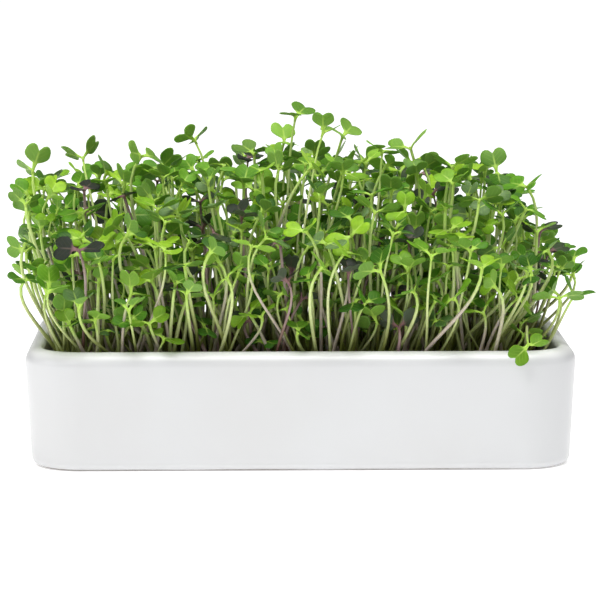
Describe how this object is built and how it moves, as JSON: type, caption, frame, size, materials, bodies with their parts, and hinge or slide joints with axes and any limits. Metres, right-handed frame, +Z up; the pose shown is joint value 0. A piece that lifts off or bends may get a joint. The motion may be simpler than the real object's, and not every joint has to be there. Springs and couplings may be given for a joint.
{
  "type": "microgreens tray",
  "caption": "Shallow rectangular glazed ceramic tray of growing medium with a dense stand of two-leaved brassica seedlings.",
  "frame": {"origin": "centre of the tray's flat base, on the surface it stands on", "axes": "+X along the tray's length, -Y towards the front of the picture, +Z up"},
  "size_m": [0.2519, 0.1649, 0.1487],
  "materials": {
    "white_glaze": "gloss",
    "coir": "matte",
    "green_shoots": "satin",
    "purple_shoots": "satin"
  },
  "bodies": {
    "root": {"ceramic_tray": "white_glaze", "green_shoots_01": "green_shoots", "green_shoots_02": "green_shoots", "green_shoots_03": "green_shoots", "green_shoots_04": "green_shoots", "green_shoots_05": "green_shoots", "green_shoots_06": "green_shoots", "green_shoots_07": "green_shoots", "green_shoots_08": "green_shoots", "green_shoots_09": "green_shoots", "green_shoots_10": "green_shoots", "green_shoots_11": "green_shoots", "green_shoots_12": "green_shoots", "green_shoots_13": "green_shoots", "green_shoots_14": "green_shoots", "green_shoots_15": "green_shoots", "green_shoots_16": "green_shoots", "green_shoots_17": "green_shoots", "green_shoots_18": "green_shoots", "green_shoots_19": "green_shoots", "green_shoots_20": "green_shoots", "green_shoots_21": "green_shoots", "green_shoots_22": "green_shoots", "green_shoots_23": "green_shoots", "green_shoots_24": "green_shoots", "green_shoots_25": "green_shoots", "green_shoots_26": "green_shoots", "green_shoots_27": "green_shoots", "green_shoots_28": "green_shoots", "green_shoots_29": "green_shoots", "green_shoots_30": "green_shoots", "green_shoots_31": "green_shoots", "green_shoots_32": "green_shoots", "green_shoots_33": "green_shoots", "green_shoots_34": "green_shoots", "green_shoots_35": "green_shoots", "green_shoots_36": "green_shoots", "green_shoots_37": "green_shoots", "green_shoots_38": "green_shoots", "green_shoots_39": "green_shoots", "green_shoots_40": "green_shoots", "growing_medium": "coir", "purple_shoots_01": "purple_shoots", "purple_shoots_02": "purple_shoots", "purple_shoots_03": "purple_shoots", "purple_shoots_04": "purple_shoots", "purple_shoots_05": "purple_shoots", "purple_shoots_06": "purple_shoots", "purple_shoots_07": "purple_shoots", "purple_shoots_08": "purple_shoots"}
  },
  "joints": []
}
